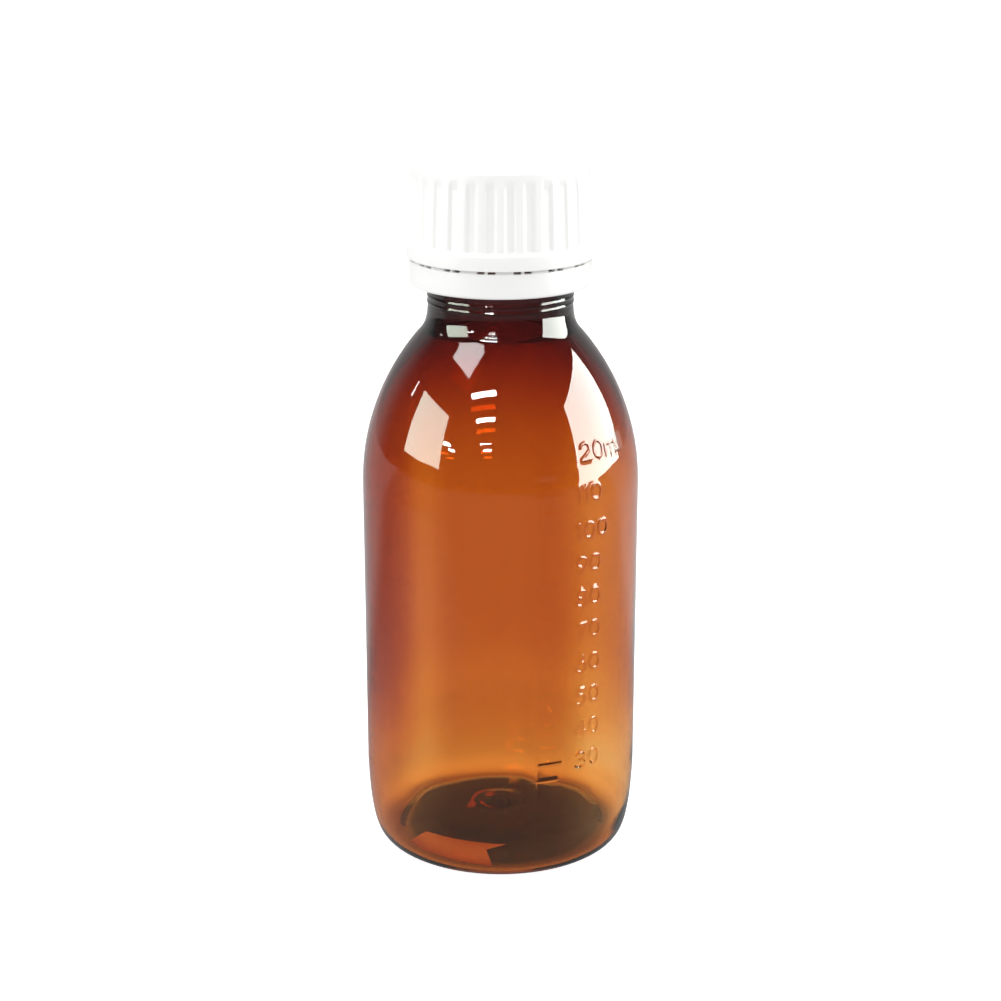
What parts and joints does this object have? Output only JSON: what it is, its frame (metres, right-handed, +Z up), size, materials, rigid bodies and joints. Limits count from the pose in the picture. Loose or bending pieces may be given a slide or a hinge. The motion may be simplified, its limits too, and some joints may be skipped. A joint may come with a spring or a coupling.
{
  "type": "medicine bottle",
  "caption": "Round amber medicine bottle with a straight body, domed shoulder, threaded neck, white ribbed screw cap, sealing liner and tamper-evident band.",
  "frame": {"origin": "centre of the bottle's base, on the surface it stands on", "axes": "+Z up along the bottle's axis, out of the neck; -Y is the front; +X is to the right of the front, where the dosing scale is"},
  "size_m": [0.0474, 0.0474, 0.1203],
  "materials": {
    "amber_plastic": "clear glossy amber",
    "white_plastic": "satin white",
    "liner_foam": "matte foamed polyethylene"
  },
  "bodies": {
    "bottle": {"bottle": "amber_plastic"},
    "liner": {"liner": "liner_foam"},
    "cap": {"screw_cap": "white_plastic"},
    "band": {"tamper_band": "white_plastic"}
  },
  "joints": [
    {"name": "cap_lift", "type": "slide", "parent": "bottle", "child": "liner", "axis": [0, 0, 1], "range_m": [0, 0.0145]},
    {"name": "cap_turn", "type": "hinge", "parent": "liner", "child": "cap", "pos_m": [0, 0, 0.118], "axis": [0, 0, 1], "range_deg": [0, 1440]},
    {"name": "band_drop", "type": "slide", "parent": "bottle", "child": "band", "axis": [0, 0, 1], "range_m": [-0.0073, 0]}
  ],
  "couplings": [
    {"joint": "cap_lift", "follows": "cap_turn", "m_per_rad": 0.00057296}
  ]
}
